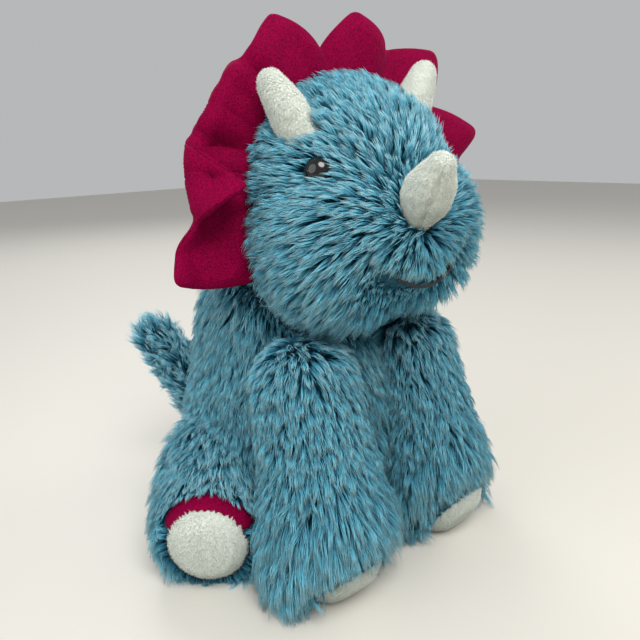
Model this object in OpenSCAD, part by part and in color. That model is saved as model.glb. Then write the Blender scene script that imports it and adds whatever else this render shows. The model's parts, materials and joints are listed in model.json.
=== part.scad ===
// Sitting plush dinosaur with a padded neck frill, three short horns and soft soles.
// Millimetres. +Z is up, the face looks towards -Y and the toy's left side is +X.
// The origin is the middle of the flat seat, on the surface that the toy sits on.

/* [Fabric] */
// Thickness of the pile fabric with its pile pressed down
fabric_t = 3; // [2:0.5:5]
// Running gap between pieces that move against each other
gap = 0.6; // [0.4:0.1:1.5]

/* [Torso] */
// Radius of the belly
body_r = 67; // [50:1:84]
// Radius of the chest
chest_r = 53; // [42:1:66]
// Height of the middle of the belly
body_low_z = 54; // [44:1:66]
// Height of the middle of the chest
chest_z = 126; // [104:1:152]
// Height of the separate seat panel
base_panel_h = 16; // [12:1:20]

/* [Head] */
// Height of the middle of the skull above the chest's middle
head_rise = 86; // [80:1:104]
// How far the head sits in front of the torso's axis
head_forward = 48; // [40:1:58]
// Radius of the skull
skull_r = 54; // [45:1:65]
// Radius of each cheek
cheek_r = 44; // [36:1:53]
// Distance of each cheek's middle from the head's middle plane
cheek_out = 18; // [14:1:22]
// Radius of the muzzle
muzzle_r = 38; // [31:1:46]
// How far the muzzle's middle is in front of the skull's
muzzle_forward = 28; // [22:1:36]
// How far the muzzle's and cheeks' middles are under the skull's
muzzle_drop = 26; // [20:1:32]
// Turn of the head to its right at rest, in degrees
head_turn = 9; // [-20:1:20]
// Lift of the head's left side at rest, in degrees
head_tilt = 5.4; // [-10:0.1:10]
// Width of the gusset over the crown
gusset_w = 32; // [20:1:44]

/* [Face] */
// Radius of a plastic eye
eye_r = 6.5; // [4:0.5:9]
// Direction of an eye from the skull's middle, sideways from straight ahead
eye_side_deg = 48.4; // [35:0.1:60]
// Direction of an eye above the level
eye_up_deg = 11.5; // [0:0.5:25]
// Width of the stitched mouth
mouth_w = 30; // [16:1:40]
// Height of the mouth under the muzzle's middle
mouth_drop = 20; // [12:1:24]

/* [Horns] */
// Radius of a brow horn at its base
brow_horn_r = 9; // [6:0.5:12]
// Radius of a brow horn's rounded tip
brow_horn_tip_r = 4.5; // [3:0.5:6]
// Length from the skull's surface to the middle of a brow horn's tip
brow_horn_len = 20; // [14:1:30]
// Radius of the nose horn at its base
nose_horn_r = 12; // [8:0.5:15]
// Radius of the nose horn's rounded tip
nose_horn_tip_r = 6; // [4:0.5:8]
// Length of the nose horn from its base to the middle of its tip
nose_horn_len = 27; // [18:1:38]

/* [Frill] */
// Thickness of the padded frill
frill_t = 6; // [4:0.5:9]
// Distance of the frill's middle behind the skull's middle
frill_back = 4; // [-4:1:14]
// Reach of the frill's points from the skull's middle
frill_reach = 110; // [90:1:130]
// Width of the frill's bare margin round its padding
frill_margin = 5; // [3:0.5:8]

/* [Front legs] */
// Distance of a front leg from the middle plane at the shoulder
shoulder_x = 42; // [36:1:50]
// Height of the shoulder
shoulder_z = 108; // [96:1:118]
// Radius of a front leg at the shoulder
front_top_r = 27; // [22:1:31]
// Radius of a front paw
front_paw_r = 30; // [24:1:34]
// Height of the middle of a front paw
front_paw_z = 24; // [20:1:28]
// How far a front paw stands in front of its shoulder
front_paw_forward = 20; // [10:1:30]

/* [Hind legs] */
// Height of the hip
hip_z = 42; // [36:1:48]
// Radius of a hind leg at the hip
hip_r = 32; // [26:1:37]
// Radius of a hind foot
hind_foot_r = 29; // [24:1:33]
// Length of a right hind leg from the hip's middle to the foot's middle
hind_leg_len = 42; // [34:1:52]
// How much longer the left hind leg lies stretched out
hind_left_extra = 8; // [0:1:14]
// Direction of a hind leg, outwards from straight ahead
hind_out_deg = 45; // [30:1:60]

/* [Soles] */
// Distance of a sole's edge plane from the middle of its foot, as a share of the foot's radius
sole_share = 0.66; // [0.5:0.02:0.8]
// Width of the band of cloth over the toes
toe_band_w = 6; // [4:0.5:9]

/* [Tail] */
// Height of the tail's root
tail_root_z = 56; // [50:1:70]
// Direction of the tail's root, from straight back towards the toy's right
tail_root_deg = 18; // [0:1:35]
// Radius of the tail's root
tail_root_r = 16; // [12:0.5:19]
// Radius of the tail's tip
tail_tip_r = 10; // [7:0.5:12]
// Length from the middle of the tail's root to the middle of its tip
tail_len = 60; // [48:1:72]

/* [Hidden] */
$fn = 64;

fur_blue = "#5a93a5";
velvet_magenta = "#890736";
plush_cream = "#d8dcd2";
fibre_white = "#f2f0ea";
plastic_black = "#101012";

big = 400;                 // half of the size of a cutting block
head_z = chest_z + head_rise;
neck_drop = 12;            // the head's pivot under the skull's middle
neck_forward = 4;          // and in front of it
pivot = [0, -head_forward - neck_forward, head_z - neck_drop];
cheek_back = 12;           // a cheek's middle behind the muzzle's
neck_lean = 40;            // lean of the neck from straight down, backwards
neck_r = 24;

function unit(v) = v / norm(v);
// Radius of the torso at a height, on the cone between belly and chest
function body_r_at(z) = z < body_low_z
  ? sqrt(pow(body_r, 2) - pow(body_low_z - z, 2))
  : body_r + (chest_r - body_r) * min(1, (z - body_low_z) / (chest_z - body_low_z));

// Middles of the head's balls, in the head's own frame
cheek_at = [cheek_out, cheek_back - muzzle_forward, -muzzle_drop];
muzzle_at = [0, -muzzle_forward, -muzzle_drop];
// The furthest that a cheek reaches from the head's pivot
cheek_reach = norm([cheek_out, cheek_at.y + neck_forward, cheek_at.z + neck_drop]) + cheek_r;
neck_outer_r = cheek_reach + gap;
head_nod_deg = 18;         // how far the head nods backwards over the neck

// How far a cheek reaches from the head's pivot in a direction, some degrees off the neck's axis
function cheek_reach_off(off_deg) =
  let (c = [cheek_out, cheek_at.y + neck_forward, cheek_at.z + neck_drop],
       ahead = c * [0, sin(neck_lean), -cos(neck_lean)],
       aside = sqrt(c * c - pow(ahead, 2)),
       u = ahead * cos(off_deg) + aside * sin(off_deg))
  u + sqrt(pow(cheek_r, 2) - c * c + pow(u, 2));

// The neck's inner face clears the cheeks when they nod past its edge
neck_inner_r = max(skull_r, cheek_reach_off(asin(neck_r / skull_r) + head_nod_deg)) + gap;

// A leg is [top, foot, radius at top, radius of foot, sole's direction, band's direction]
shoulder_sink = 11;        // how deep the shoulder's ball sits in the torso
shoulder_axis_r = body_r_at(shoulder_z) + front_top_r - shoulder_sink;
shoulder_y = -sqrt(pow(shoulder_axis_r, 2) - pow(shoulder_x, 2));
front_paw_out = 3;         // a front paw stands this much further out than its shoulder
front_sole_deg = [54, 42]; // tilt of the left and right front soles from straight down
hip_sink = 12;             // how deep the hip's middle lies in the torso
hip_x = body_r_at(hip_z) - hip_sink;
hip_y = 4;
hind_foot_z = 28;
hind_sole_down_deg = 3;    // a hind sole faces this much under the level

function front_leg(side, sole_deg) =
  let (top = [side * shoulder_x, shoulder_y, shoulder_z],
       foot = [side * (shoulder_x + front_paw_out), shoulder_y - front_paw_forward, front_paw_z])
  [top, foot, front_top_r, front_paw_r,
   [0, -sin(sole_deg), -cos(sole_deg)], [0, -cos(sole_deg), sin(sole_deg)]];

function hind_leg(side, leg_len) =
  let (top = [side * hip_x, hip_y, hip_z],
       drop = hip_z - hind_foot_z,
       level = sqrt(pow(leg_len, 2) - pow(drop, 2)),
       out = [side * sin(hind_out_deg), -cos(hind_out_deg), 0])
  [top, top + level * out - [0, 0, drop], hip_r, hind_foot_r,
   unit(out - [0, 0, sin(hind_sole_down_deg)]), [0, 0, 1]];

front_left = front_leg(1, front_sole_deg[0]);
front_right = front_leg(-1, front_sole_deg[1]);
hind_left = hind_leg(1, hind_leg_len + hind_left_extra);
hind_right = hind_leg(-1, hind_leg_len);

// How far each leg swings, in degrees: forwards is negative
front_swing = [-40, 4];
hind_swing = [-20, 0];

tail_root_out = 5;         // how far the middle of the tail's root is outside the torso
tail_lift_deg = 54;        // rise of the tail above the level
tail_side_deg = 40;        // lean of the tail from straight back towards the toy's right
tail_root = (body_r_at(tail_root_z) + tail_root_out) * [-sin(tail_root_deg), cos(tail_root_deg), 0]
  + [0, 0, tail_root_z];
tail_dir = [-cos(tail_lift_deg) * sin(tail_side_deg), cos(tail_lift_deg) * cos(tail_side_deg),
  sin(tail_lift_deg)];
tail_tip = tail_root + tail_len * tail_dir;
tail_wag_deg = 15;

brow_horn_out = [36, -17, 32];      // direction of a brow horn's base from the skull's middle
brow_horn_dir = [10, 7.5, 26];      // direction that a brow horn points
nose_horn_base = [0, -muzzle_forward - 26, 14 - muzzle_drop];
nose_horn_dir = [0, -18, 21];

eye_dir = [cos(eye_up_deg) * sin(eye_side_deg), -cos(eye_up_deg) * cos(eye_side_deg),
  sin(eye_up_deg)];
eye_shank_r = 2;
eye_shank_len = 10;        // how far the shank reaches under the skull's surface
eye_sunk = 2;              // the dome's ball is centred this far under its foot
eye_foot_r = sqrt(pow(eye_r, 2) - pow(eye_sunk, 2));

// Height of the dome's foot along its axis, on the skull or on the cheek if that bulges past it
eye_along = cheek_at * eye_dir;
eye_off = sqrt(cheek_at * cheek_at - pow(eye_along, 2)) - eye_foot_r;
eye_foot_h = max(skull_r, eye_along + sqrt(max(0, pow(cheek_r, 2) - pow(eye_off, 2)))) + 0.05;
washer_r = 8;
washer_t = 1.5;
washer_depth = fabric_t + 0.8;
washer_room = washer_depth + washer_t + 0.5;
shank_room = eye_shank_len + 0.5;
mouth_t = 0.8;             // the thread's radius

// Points and notches of the frill's left half, as [direction, share of the reach], from the top
frill_tips = [[74, 0.80], [38, 0.90], [7.1, 0.99], [-18.8, 1.07]];
frill_notches = [[90, 0.59], [55, 0.71], [23.5, 0.73], [-0.6, 0.81], [-34.5, 0.68]];

// ---------- shapes ----------

module ball(at, r) {
  translate(at) sphere(r);
}

// Turns +Z to a direction
module along(dir) {
  rotate([0, acos(dir.z / norm(dir)), atan2(dir.y, dir.x)]) children();
}

// Everything further than d from a point, in a direction
module beyond(at, dir, d) {
  translate(at) along(dir) translate([-big, -big, d]) cube(2 * big);
}

seam_turn = 70;            // keeps a body of revolution's own seam off the planes that cut it

tuck = 0.998;              // a cone's edge stops this share of the radius out, inside its ball

// Two balls and the cone between them, as one body of revolution
module taper(a, ra, b, rb) {
  len_ab = norm(b - a);
  slope = asin((ra - rb) / len_ab);
  edge = tuck * [cos(slope), sin(slope)];
  translate(a) along(b - a) rotate([0, 0, seam_turn]) rotate_extrude() intersection() {
    union() {
      circle(ra);
      translate([0, len_ab]) circle(rb);
      polygon([[0, 0], ra * edge, [0, len_ab] + rb * edge, [0, len_ab]]);
    }
    translate([0, -big]) square([big, 2 * big]);
  }
}

module above(z) {
  translate([-big, -big, z]) cube(2 * big);
}

// ---------- torso ----------

swing_steps = 2;           // parts that a leg's swing is swept in
torso_fn = 32;             // facets round the torso

// The torso's form, shrunk by d, with the seat cut flat
module torso_form(d) {
  intersection() {
    hull() {
      ball([0, 0, body_low_z], body_r - d);
      ball([0, 0, chest_z], chest_r - d);
    }
    above(d);
  }
}

// The paw's end of a leg, grown by the gap, where the leg has swung by some degrees
module swung_paw(leg, swing) {
  translate(leg[0]) rotate([swing, 0, 0]) ball(leg[1] - leg[0], leg[3] + gap);
}

// Room for a leg over its swing from rest to the given angle
module leg_room(leg, swing) {
  for (part = [0 : swing_steps - 1]) hull() {
    ball(leg[0], leg[2] + gap);
    swung_paw(leg, swing * part / swing_steps);
    swung_paw(leg, swing * (part + 1) / swing_steps);
  }
}

// Room for the tail as it wags to both sides
module tail_room() {
  for (way = [-1, 1]) hull() {
    ball(tail_root, tail_root_r + gap);
    for (turn = [0, way * tail_wag_deg]) translate(tail_root) rotate([0, 0, turn])
      ball(tail_tip - tail_root, tail_tip_r + gap);
  }
}

// Everything that the torso makes room for
module torso_rooms() {
  ball(pivot, neck_outer_r + gap, $fn = 72);
  for (leg = [front_left, front_right]) leg_room(leg, front_swing[1]);
  for (leg = [hind_left, hind_right]) leg_room(leg, hind_swing[0]);
  tail_room();
}

module torso_skin() {
  difference() {
    torso_form(0);
    torso_form(fabric_t);
    torso_rooms();
  }
}

belly_plane_y = -24;

module belly_region() {
  beyond([0, belly_plane_y, 0], [0, -1, 0], 0);
}

module torso_back(side) {
  $fn = torso_fn;
  color(fur_blue) difference() {
    intersection() {
      torso_skin();
      beyond([0, 0, 0], [side, 0, 0], 0);
      above(base_panel_h);
    }
    belly_region();
  }
}

module torso_back_left() torso_back(1);
module torso_back_right() torso_back(-1);

module torso_belly() {
  $fn = torso_fn;
  color(fur_blue) intersection() {
    torso_skin();
    belly_region();
    above(base_panel_h);
  }
}

module torso_seat() {
  $fn = torso_fn;
  color(fur_blue) difference() {
    torso_skin();
    above(base_panel_h);
  }
}

// The bag of plastic pellets lies on the seat, between the hips
bag_t = 1;
bag_sag = 2;               // how much lower the bag would reach if the seat didn't flatten it
bag_play = 0.3;
pellet_bag_r = hip_x - hip_r - 2 * gap;
pellet_bag_at = [0, 2 * hip_y, pellet_bag_r - bag_sag];

module torso_stuffing() {
  $fn = torso_fn;
  color(fibre_white) difference() {
    torso_form(fabric_t);
    torso_rooms();
    ball(pellet_bag_at, pellet_bag_r + bag_play, $fn = 48);
  }
}

module pellet_bag() {
  color(fibre_white) difference() {
    intersection() {
      ball(pellet_bag_at, pellet_bag_r);
      above(fabric_t);
    }
    ball(pellet_bag_at, pellet_bag_r - bag_t);
  }
}

module pellets() {
  color("#e4e4e0") intersection() {
    ball(pellet_bag_at, pellet_bag_r - bag_t);
    above(fabric_t);
  }
}

// The stuffed neck, a thick cap between two balls round the head's pivot
module neck_stuffing() {
  color(fibre_white) intersection() {
    difference() {
      ball(pivot, neck_outer_r);
      ball(pivot, neck_inner_r);
    }
    translate(pivot) along([0, sin(neck_lean), -cos(neck_lean)]) cylinder(r = neck_r, h = big);
  }
}

// ---------- head ----------

module in_head() {
  translate([0, -head_forward, head_z]) rotate([0, 0, -head_turn]) rotate([0, -head_tilt, 0])
    children();
}

// The head's form without horns and frill, shrunk by d
module head_form(d) {
  ball([0, 0, 0], skull_r - d);
  for (side = [-1, 1]) ball([side * cheek_at.x, cheek_at.y, cheek_at.z], cheek_r - d);
  ball(muzzle_at, muzzle_r - d);
}

module eye_axis(side) {
  along([side * eye_dir.x, eye_dir.y, eye_dir.z]) children();
}

module head_skin() {
  difference() {
    head_form(0);
    head_form(fabric_t);
    for (side = [-1, 1]) eye_axis(side) cylinder(r = eye_shank_r + 0.2, h = big);
  }
}

gusset_bottom = -9;        // height of the gusset's nose end, in the head's frame
jaw_top = -muzzle_drop - mouth_drop;

module gusset_region() {
  translate([-gusset_w / 2, -big, gusset_bottom]) cube([gusset_w, 2 * big, big]);
}

// The left side of the head's skin, in the head's frame
module head_side() {
  difference() {
    intersection() {
      head_skin();
      beyond([0, 0, 0], [1, 0, 0], 0);
      above(jaw_top);
    }
    gusset_region();
  }
}

module head_side_left() {
  color(fur_blue) in_head() head_side();
}

module head_side_right() {
  color(fur_blue) in_head() mirror([1, 0, 0]) head_side();
}

module head_gusset() {
  color(fur_blue) in_head() intersection() {
    head_skin();
    gusset_region();
  }
}

module head_jaw() {
  color(fur_blue) in_head() difference() {
    head_skin();
    above(jaw_top);
  }
}

module head_stuffing() {
  color(fibre_white) in_head() difference() {
    head_form(fabric_t);
    for (side = [-1, 1]) eye_axis(side) {
      translate([0, 0, skull_r - shank_room]) cylinder(r = eye_shank_r + 0.2, h = big);
      translate([0, 0, skull_r - washer_room]) cylinder(r = washer_r, h = big);
    }
  }
}

// ---------- eyes and mouth ----------

// A dome that stands on the skin, with a shank that goes through it
module eye(side) {
  shank_len = eye_foot_h - skull_r + eye_shank_len;
  color(plastic_black) in_head() eye_axis(side) translate([0, 0, eye_foot_h]) rotate_extrude() union() {
    translate([0, -shank_len]) square([eye_shank_r, shank_len]);
    intersection() {
      translate([0, -eye_sunk]) circle(eye_r);
      square(big);
    }
  }
}

module eye_left() eye(1);
module eye_right() eye(-1);

module eye_washer(side) {
  color("#dddddd") in_head() eye_axis(side)
    translate([0, 0, skull_r - washer_depth - washer_t]) difference() {
      cylinder(r = washer_r - 0.5, h = washer_t);
      translate([0, 0, -1]) cylinder(r = eye_shank_r + 0.05, h = washer_t + 2);
    }
}

module eye_washer_left() eye_washer(1);
module eye_washer_right() eye_washer(-1);

// How far a ball of the head reaches forwards at the mouth's height, beside its own middle
function lip_reach(at, r, aside) =
  sqrt(pow(r + mouth_t, 2) - pow(mouth_drop, 2) - pow(aside, 2)) - at.y;

// How far the cheeks push the mouth forwards, if they bulge past the muzzle
mouth_push = max(0, max([for (x = [0, mouth_w / 4, mouth_w / 2])
  lip_reach(cheek_at, cheek_r, x - cheek_out) - lip_reach(muzzle_at, muzzle_r, x)]));

// A thread that lies on the muzzle along the jaw's seam
module mouth_stitching() {
  lip_r = lip_reach(muzzle_at, muzzle_r, 0) + muzzle_at.y;
  color(plastic_black) in_head() intersection() {
    translate([0, muzzle_at.y - mouth_push, jaw_top]) rotate_extrude()
      translate([lip_r + 0.02, 0]) circle(mouth_t);
    translate([-mouth_w / 2, muzzle_at.y - mouth_push - big, -big]) cube([mouth_w, big, big]);
  }
}

// ---------- horns ----------

// A horn's form, shrunk by d, from under the head's skin to its tip
module horn_form(base, dir, horn_len, base_r, tip_r, d) {
  difference() {
    taper(base, base_r - d, base + horn_len * unit(dir), tip_r - d);
    head_form(0);
  }
}

module brow_horn_form(side, d) {
  base = skull_r * unit(brow_horn_out) - 4 * unit(brow_horn_dir);
  at = [side * base.x, base.y, base.z];
  dir = [side * brow_horn_dir.x, brow_horn_dir.y, brow_horn_dir.z];
  horn_form(at, dir, brow_horn_len + 4, brow_horn_r, brow_horn_tip_r, d);
}

module nose_horn_form(d) {
  horn_form(nose_horn_base, nose_horn_dir, nose_horn_len, nose_horn_r, nose_horn_tip_r, d);
}

horn_t = 1.5;              // the horns' short pile cloth

module brow_horn(side) {
  color(plush_cream) in_head() difference() {
    brow_horn_form(side, 0);
    brow_horn_form(side, horn_t);
  }
}

module brow_horn_left() brow_horn(1);
module brow_horn_right() brow_horn(-1);

module nose_horn() {
  color(plush_cream) in_head() difference() {
    nose_horn_form(0);
    nose_horn_form(horn_t);
  }
}

module brow_horn_left_stuffing() {
  color(fibre_white) in_head() brow_horn_form(1, horn_t);
}

module brow_horn_right_stuffing() {
  color(fibre_white) in_head() brow_horn_form(-1, horn_t);
}

module nose_horn_stuffing() {
  color(fibre_white) in_head() nose_horn_form(horn_t);
}

// ---------- frill ----------

function polar(dir_deg, r) = [r * cos(dir_deg), r * sin(dir_deg)];

// The left half of the frill's edge from the top down, drawn in by a margin
function frill_half(margin) = [
  for (i = [0 : len(frill_tips) - 1], part = [0, 1])
    let (p = part == 0 ? frill_notches[i] : frill_tips[i])
    polar(p[0], p[1] * frill_reach - (part == 0 ? margin : 2.2 * margin)),
  polar(frill_notches[4][0], frill_notches[4][1] * frill_reach)
    + margin * [-0.5, 1]
];

module frill_outline(margin) {
  half = frill_half(margin);
  last = len(half) - 1;
  right = [for (i = [last : -1 : 1]) [-half[i].x, half[i].y]];
  inner_drop = cheek_r * 0.5;
  polygon(concat(half, [[cheek_out, -inner_drop], [-cheek_out, -inner_drop]], right));
}

// A flat slab of the frill's outline from y0 to y1
module frill_slab(margin, y0, y1) {
  difference() {
    translate([0, y1, 0]) rotate([90, 0, 0]) linear_extrude(y1 - y0) frill_outline(margin);
    head_form(0);
  }
}

frill_y0 = frill_back - frill_t / 2;
frill_y1 = frill_back + frill_t / 2;

module frill_pad_space() {
  frill_slab(frill_margin, frill_y0 + frill_t / 4, frill_y1 - frill_t / 4);
}

module frill_front() {
  color(velvet_magenta) in_head() difference() {
    frill_slab(0, frill_y0, frill_back);
    frill_pad_space();
  }
}

module frill_rear() {
  color(velvet_magenta) in_head() difference() {
    frill_slab(0, frill_back, frill_y1);
    frill_pad_space();
  }
}

module frill_padding() {
  color(fibre_white) in_head() frill_pad_space();
}

// ---------- legs ----------

// A leg's form, shrunk by d, cut flat on the floor
module leg_form(leg, d) {
  intersection() {
    taper(leg[0], leg[2] - d, leg[1], leg[3] - d);
    above(d);
  }
}

module leg_skin(leg) {
  difference() {
    leg_form(leg, 0);
    leg_form(leg, fabric_t);
  }
}

module sole_region(leg) {
  beyond(leg[1], leg[4], sole_share * leg[3]);
}

// The cap of a foot's ball past the sole's edge plane
module sole_cap(leg) {
  translate(leg[1]) along(leg[4]) rotate([0, 0, 180]) rotate_extrude() intersection() {
    circle(leg[3]);
    translate([0, sole_share * leg[3]]) square(big);
  }
}

// The strip over the toes, next to the sole's upper edge
module band_region(leg) {
  difference() {
    intersection() {
      beyond(leg[1], leg[4], sole_share * leg[3] - toe_band_w);
      beyond(leg[1], leg[5], leg[3] * 0.3);
    }
    sole_region(leg);
  }
}

// Half of the leg's upper, on one side of the upright plane through the leg
module leg_panel(leg, side) {
  color(fur_blue) difference() {
    intersection() {
      leg_skin(leg);
      beyond(leg[0], side * cross(leg[1] - leg[0], [0, 0, 1]), 0);
    }
    beyond(leg[1], leg[4], sole_share * leg[3]);
    band_region(leg);
  }
}

module toe_band(leg, shade) {
  color(shade) intersection() {
    leg_skin(leg);
    band_region(leg);
  }
}

module sole(leg) {
  color(plush_cream) difference() {
    intersection() {
      sole_cap(leg);
      above(0);
    }
    intersection() {
      translate(leg[1]) along(leg[4]) rotate([0, 0, 180]) sphere(leg[3] - fabric_t);
      above(fabric_t);
    }
  }
}

module leg_stuffing(leg) {
  color(fibre_white) leg_form(leg, fabric_t);
}

module front_left_outer_panel() leg_panel(front_left, -1);
module front_left_inner_panel() leg_panel(front_left, 1);
module front_left_toe_band() toe_band(front_left, fur_blue);
module front_left_sole() sole(front_left);
module front_left_stuffing() leg_stuffing(front_left);
module front_right_outer_panel() leg_panel(front_right, 1);
module front_right_inner_panel() leg_panel(front_right, -1);
module front_right_toe_band() toe_band(front_right, fur_blue);
module front_right_sole() sole(front_right);
module front_right_stuffing() leg_stuffing(front_right);
module hind_left_outer_panel() leg_panel(hind_left, 1);
module hind_left_inner_panel() leg_panel(hind_left, -1);
module hind_left_toe_band() toe_band(hind_left, velvet_magenta);
module hind_left_sole() sole(hind_left);
module hind_left_stuffing() leg_stuffing(hind_left);
module hind_right_outer_panel() leg_panel(hind_right, -1);
module hind_right_inner_panel() leg_panel(hind_right, 1);
module hind_right_toe_band() toe_band(hind_right, velvet_magenta);
module hind_right_sole() sole(hind_right);
module hind_right_stuffing() leg_stuffing(hind_right);

// ---------- tail ----------

module tail_form(d) {
  taper(tail_root, tail_root_r - d, tail_tip, tail_tip_r - d);
}

module tail_panel(side) {
  color(fur_blue) intersection() {
    difference() {
      tail_form(0);
      tail_form(fabric_t);
    }
    beyond(tail_root, side * cross([0, 0, 1], tail_dir), 0);
  }
}

module tail_left_panel() tail_panel(-1);
module tail_right_panel() tail_panel(1);

module tail_stuffing() {
  color(fibre_white) tail_form(fabric_t);
}

torso_back_left();
torso_back_right();
torso_belly();
torso_seat();
torso_stuffing();
pellet_bag();
pellets();
neck_stuffing();
head_side_left();
head_side_right();
head_gusset();
head_jaw();
head_stuffing();
frill_front();
frill_rear();
frill_padding();
brow_horn_left();
brow_horn_right();
nose_horn();
brow_horn_left_stuffing();
brow_horn_right_stuffing();
nose_horn_stuffing();
eye_left();
eye_right();
eye_washer_left();
eye_washer_right();
mouth_stitching();
front_left_outer_panel();
front_left_inner_panel();
front_left_toe_band();
front_left_sole();
front_left_stuffing();
front_right_outer_panel();
front_right_inner_panel();
front_right_toe_band();
front_right_sole();
front_right_stuffing();
hind_left_outer_panel();
hind_left_inner_panel();
hind_left_toe_band();
hind_left_sole();
hind_left_stuffing();
hind_right_outer_panel();
hind_right_inner_panel();
hind_right_toe_band();
hind_right_sole();
hind_right_stuffing();
tail_left_panel();
tail_right_panel();
tail_stuffing();
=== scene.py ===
import json
import math

import bpy
import numpy as np
from mathutils import Matrix, Vector


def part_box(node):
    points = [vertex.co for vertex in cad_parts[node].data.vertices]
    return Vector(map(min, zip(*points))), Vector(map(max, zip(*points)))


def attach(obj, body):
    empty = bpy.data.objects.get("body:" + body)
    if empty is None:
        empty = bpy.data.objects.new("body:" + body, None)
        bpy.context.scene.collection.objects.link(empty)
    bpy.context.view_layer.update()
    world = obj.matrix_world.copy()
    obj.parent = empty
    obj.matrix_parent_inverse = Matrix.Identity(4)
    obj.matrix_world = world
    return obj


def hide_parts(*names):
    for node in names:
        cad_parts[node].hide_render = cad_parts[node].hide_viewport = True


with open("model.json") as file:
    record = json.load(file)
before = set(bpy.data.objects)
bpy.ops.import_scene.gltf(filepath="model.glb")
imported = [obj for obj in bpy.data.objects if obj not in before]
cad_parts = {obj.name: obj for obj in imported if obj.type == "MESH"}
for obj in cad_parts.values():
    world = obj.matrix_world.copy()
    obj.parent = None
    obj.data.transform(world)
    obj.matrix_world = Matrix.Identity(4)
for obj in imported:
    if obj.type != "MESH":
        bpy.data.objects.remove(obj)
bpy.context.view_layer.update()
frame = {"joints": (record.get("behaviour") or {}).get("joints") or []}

MM = 0.001
JOINTS = {j["name"]: j for j in frame["joints"]}
SCENE = bpy.context.scene


# ---------- small helpers ----------


def vec(*values):
    return np.array(values, float)


def unit(v):
    v = np.asarray(v, float)
    return v / np.maximum(np.linalg.norm(v, axis=-1, keepdims=True), 1e-9)


def joint_at(name):
    """A joint's origin in millimetres."""
    return np.array(JOINTS[name]["pos_m"], float) / MM


def middle(node):
    """The middle of a CAD node's box in millimetres."""
    low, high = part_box(node)
    return np.array((low + high) / 2) / MM


def smooth_step(x, x0, x1):
    t = np.clip((x - x0) / (x1 - x0), 0, 1)
    return t * t * (3 - 2 * t)


def mix(a, b, t):
    return a + (b - a) * t


def linear(r, g, b):
    """A display colour in 0..255 as linear RGBA."""
    out = []
    for c in (r, g, b):
        c = c / 255
        out.append(c / 12.92 if c <= 0.04045 else ((c + 0.055) / 1.055) ** 2.4)
    return (*out, 1.0)


# ---------- camera, floor and light ----------


CAMERA_AT = Vector((-246.2, -299.5, 232.0)) * MM
CAMERA_YAW, CAMERA_DOWN, CAMERA_ROLL = 42, 15.5, 1.6  # degrees


def make_camera():
    yaw, down, roll = math.radians(CAMERA_YAW), math.radians(CAMERA_DOWN), math.radians(CAMERA_ROLL)
    ahead = Vector((math.sin(yaw) * math.cos(down), math.cos(yaw) * math.cos(down), -math.sin(down)))
    right = Vector((math.cos(yaw), -math.sin(yaw), 0))
    up = right.cross(ahead)
    x = right * math.cos(roll) - up * math.sin(roll)
    y = right * math.sin(roll) + up * math.cos(roll)
    data = bpy.data.cameras.new("camera")
    data.sensor_width = 36
    data.lens = 36
    data.clip_start, data.clip_end = 0.01, 50
    camera = bpy.data.objects.new("camera", data)
    SCENE.collection.objects.link(camera)
    turn = Matrix((x, y, -ahead)).transposed().to_4x4()
    camera.matrix_world = Matrix.Translation(CAMERA_AT) @ turn
    SCENE.camera = camera


LIGHTS_AIM = Vector((0, 0, 0.12))  # the toy's middle, in metres


def area_light(name, at, size, watts, colour):
    data = bpy.data.lights.new(name, "AREA")
    data.shape = "DISK"
    data.size = size
    data.energy = watts
    data.color = colour
    lamp = bpy.data.objects.new(name, data)
    SCENE.collection.objects.link(lamp)
    lamp.location = at
    lamp.rotation_mode = "QUATERNION"
    lamp.rotation_quaternion = (LIGHTS_AIM - Vector(at)).to_track_quat("-Z", "Y")


def make_stage():
    bpy.ops.mesh.primitive_plane_add(size=6)
    floor = bpy.context.object
    floor.name = "floor"
    paint = bpy.data.materials.new("floor")
    paint.use_nodes = True
    shader = paint.node_tree.nodes["Principled BSDF"]
    shader.inputs["Base Color"].default_value = linear(205, 202, 194)
    shader.inputs["Roughness"].default_value = 0.5
    floor.data.materials.append(paint)
    area_light("key", (-0.35, -0.75, 1.15), 0.8, 16, (1.0, 0.98, 0.95))
    area_light("fill", (-1.2, 0.1, 0.7), 1.2, 6, (0.95, 0.98, 1.0))
    area_light("side", (1.0, -0.5, 0.8), 1.2, 5, (1.0, 0.98, 0.96))
    area_light("back", (0.5, 1.1, 1.0), 1.0, 7, (1.0, 1.0, 1.0))
    world = bpy.data.worlds.new("world")
    world.use_nodes = True
    world.node_tree.nodes["Background"].inputs["Color"].default_value = (0.86, 0.87, 0.88, 1)
    world.node_tree.nodes["Background"].inputs["Strength"].default_value = 0.55
    SCENE.world = world
    SCENE.view_settings.view_transform = "Standard"


# ---------- materials ----------


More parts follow.
